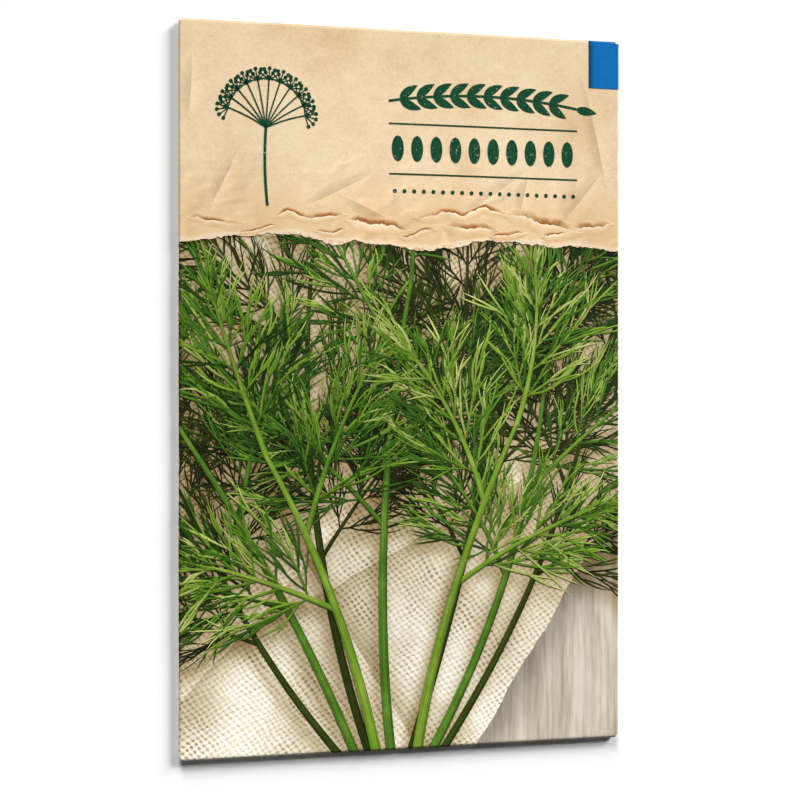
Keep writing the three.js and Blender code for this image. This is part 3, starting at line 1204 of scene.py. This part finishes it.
def creaseColour(place):
    u, v = parted(ownMap(place, "strand"))
    dark = times(fade(u, 0.0, 0.5), calc("LESS_THAN", u, 0.5))
    light = times(fade(u, 1.0, 0.5), calc("GREATER_THAN", u, 0.5))
    slope = calc("SUBTRACT", times(light, 0.09), times(dark, 0.2))
    ends = times(fade(v, 0.0, 0.3), fade(v, 1.0, 0.55))
    return shaded(wornKraft(place), scaled(slope, ends, 1.0))


def printHeader(lift):
    layHeader("torn_core", coreLine, lift, printedMaterial("torn_core", coreColour))
    layHeader("kraft_header", tearLine, lift + lifts["header"], printedMaterial("kraft_header", headerColour))
    layStrands("header_creases", creaseLines(), creases["steps"], leafShape, lift + lifts["creases"],
               printedMaterial("crease", creaseColour), sink=creases["sink"])
    layStrands("header_curls", tearCurls(), curls["steps"], rollShape, lift + lifts["curls"],
               printedMaterial("torn_roll", curlColour), sink=curls["sink"])
    return lift + lifts["ornaments"]


# Plain garden ornaments in dark green ink
letterpress = {"steps": 24, "ink": ink(12, 70, 44), "worn": ink(176, 168, 128)}
umbel = {
    "heading": 96,
    "bend": -10,
    "stalkWidth": 0.6,
    "spread": 150,
    "rayWidth": 0.32,
    "fan": 7,
    "fanStep": 28,
    "fanLength": 2.5,
    "fanWidth": 0.24,
    "dot": 0.84,
}
sprig = {
    "height": 64,
    "heading": 10,
    "bend": -20,
    "stalkWidth": 0.55,
    "leafPairs": 10,
    "leafAngle": 44,
    "leafLength": 5.2,
    "leafWidth": 1.9,
    "leafBend": 26,
    "endLeaf": 5,
}
ornaments = {
    "left": -4,
    "width": 44,
    "rulesAt": (47.8, 59),
    "ruleWidth": 0.34,
    "seeds": ((-2, 50.6), 4.4, 10),  # where the first one is, from one to the next, and how many
    "seedSize": (5.8, 2.7),
    "specks": ((-3.2, 44), 2.2, 20),
    "speckSize": 0.9,
    "flower": {"foot": (-31, 40), "length": 17, "rays": 11, "reach": 10.5},
}


def inkColour(place):
    worn = fade(grain(place, 0.8, 4, 0.75), 0.6, 0.68, 0.0, 0.75)
    return mixed(worn, letterpress["ink"], letterpress["worn"])


def stroke(start, heading, length, bend, width):
    return {"path": walk(start, heading, length, bend, letterpress["steps"]), "width": width}


def leafySprig(left, length):
    # a stalk with a pair of leaves at each step, and one leaf at its end
    stalk = stroke((left, sprig["height"]), sprig["heading"], length, sprig["bend"], sprig["stalkWidth"])
    leaves = []
    for index in range(sprig["leafPairs"]):
        at, facing = partWay(stalk["path"], 0.06 + 0.88 * index / sprig["leafPairs"])
        for side in (1, -1):
            lean, bend = facing + side * sprig["leafAngle"], -side * sprig["leafBend"]
            leaves.append(stroke(at, lean, sprig["leafLength"], bend, sprig["leafWidth"]))
    tip, facing = stalk["path"][-1], partWay(stalk["path"], 1)[1]
    leaves.append(stroke(tip, facing, sprig["endLeaf"], 0, sprig["leafWidth"]))
    return [stalk], leaves


def flowerHead(foot, length, rays, reach):
    # a stalk with rays that fan out of its top, each with a small fan of its own
    stalk = stroke(foot, umbel["heading"], length, umbel["bend"], umbel["stalkWidth"])
    lines, dots = [stalk], []
    top, facing = partWay(stalk["path"], 1)
    dot = umbel["dot"]
    for index in range(rays):
        angle = umbel["spread"] * (index / (rays - 1) - 0.5)
        far = reach * (0.82 + 0.18 * math.cos(math.radians(angle)))
        ray = stroke(top, facing + angle * 0.8, far, angle * 0.2, umbel["rayWidth"])
        lines.append(ray)
        tip, way = partWay(ray["path"], 1)
        for fan in range(umbel["fan"]):
            lean = umbel["fanStep"] * (fan - umbel["fan"] // 2)
            small = stroke(tip, way + lean, umbel["fanLength"], 0, umbel["fanWidth"])
            lines.append(small)
            dots.append(stroke(small["path"][-1] - Vector((dot / 2, 0)), 0, dot, 0, dot))
    return lines, dots


def repeated(start, pitch, count, heading, length, width):
    # the same stroke again and again, from left to right
    return [stroke((start[0] + pitch * index, start[1]), heading, length, 0, width) for index in range(count)]


def printOrnaments(lift):
    left, width, size = ornaments["left"], ornaments["width"], ornaments["speckSize"]
    stalk, leaves = leafySprig(left, width)
    lines, dots = flowerHead(**ornaments["flower"])
    seeds = repeated(*ornaments["seeds"], 90, *ornaments["seedSize"])
    specks = repeated(*ornaments["specks"], 0, size, size)
    rules = [stroke((left, at), 0, width, 0, ornaments["ruleWidth"]) for at in ornaments["rulesAt"]]
    material = printedMaterial("letterpress_ink", inkColour)
    steps = letterpress["steps"]
    layStrands("header_leaves", leaves, steps, leafShape, lift, material)
    layStrands("header_seeds", seeds + specks + dots, steps, ovalShape, lift, material)
    layStrands("header_lines", stalk + lines + rules, steps, ruleShape, lift, material)


def printTab(lift):
    middle = (tab["left"] + tab["right"]) / 2
    path = walk((middle, tab["bottom"]), 90, panelEnd - tab["bottom"], 0, tab["steps"])
    strip = {"path": path, "width": tab["right"] - tab["left"]}
    layStrands("blue_tab", [strip], tab["steps"], ruleShape, lift, printedMaterial("blue_tab", tabColour))


# The back: a sowing calendar of twelve bare cells, lines for notes and a flower head
backPrint = {
    "months": 12,
    "sowing": (3, 4, 5, 6, 7),  # these cells are filled
    "cell": 6.4,
    "pitch": 7.2,
    "calendarAt": (-39.6, 40),
    "frame": 0.3,  # width of the lines round an empty cell
    "notes": 5,
    "notesAt": (-42.6, 28),
    "notePitch": 8,
    "noteSize": (86, 0.25),
    "flower": {"foot": (0, -56), "length": 24, "rays": 13, "reach": 13},
    "lift": 0.012,
}


def printBack():
    steps = letterpress["steps"]
    cell, rim = backPrint["cell"], backPrint["frame"]
    left, bottom = backPrint["calendarAt"]
    filled, lines = [], []
    for month in range(backPrint["months"]):
        x = left + backPrint["pitch"] * month
        if month in backPrint["sowing"]:
            filled.append(stroke((x, bottom), 90, cell, 0, cell))
            continue
        for side in (-1, 1):
            lines.append(stroke((x + side * cell / 2, bottom), 90, cell, 0, rim))
            lines.append(stroke((x - cell / 2, bottom + (side + 1) / 2 * cell), 0, cell, 0, rim))
    left, top = backPrint["notesAt"]
    length, width = backPrint["noteSize"]
    for note in range(backPrint["notes"]):
        lines.append(stroke((left, top - backPrint["notePitch"] * note), 0, length, 0, width))
    head, dots = flowerHead(**backPrint["flower"])
    material = printedMaterial("back_ink", inkColour)
    lift = backPrint["lift"]
    layStrands("back_cells", filled, steps, ruleShape, lift, material, place=onBack)
    layStrands("back_lines", lines + head, steps, ruleShape, lift, material, place=onBack)
    layStrands("back_dots", dots, steps, ovalShape, lift + 0.001, material, place=onBack)


# The adhesive and the seed keep their CAD solids
cloudyGlue = {
    "roughness": 0.38,
    "specular": 0.5,
    "stretch": (1, 1, 1),
    "grain": (3.5, 4, 0.6),
    "colours": ((0.3, ink(214, 204, 176)), (0.7, ink(240, 234, 216))),
    "depth": 0.05,
}
ribbedHusk = {
    "roughness": 0.72,
    "specular": 0.25,
    "stretch": (2.4, 0.5, 1),
    "grain": (1, 3, 0.6),
    "colours": ((0.3, ink(86, 58, 30)), (0.5, ink(134, 98, 58)), (0.68, ink(196, 168, 120))),
    "depth": 0.12,
}


def finishInside():
    glue = evenMaterial("dried_glue", cloudyGlue)
    husk = evenMaterial("seed_husk", ribbedHusk)
    for node, material in (
        ("side_seam_glue", glue), ("bottom_flap_glue", glue), ("top_flap_glue", glue), ("dill_seeds", husk)
    ):
        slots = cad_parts[node].data.materials
        slots.clear()
        slots.append(material)
    print("glue and seed finished")


def main():
    aimCamera()
    lightStudio()
    layFloor()
    cutAndFold()
    lift = printHerbs()
    lift = printHeader(lift)
    printOrnaments(lift)
    printTab(lift)
    printBack()
    finishInside()


main()
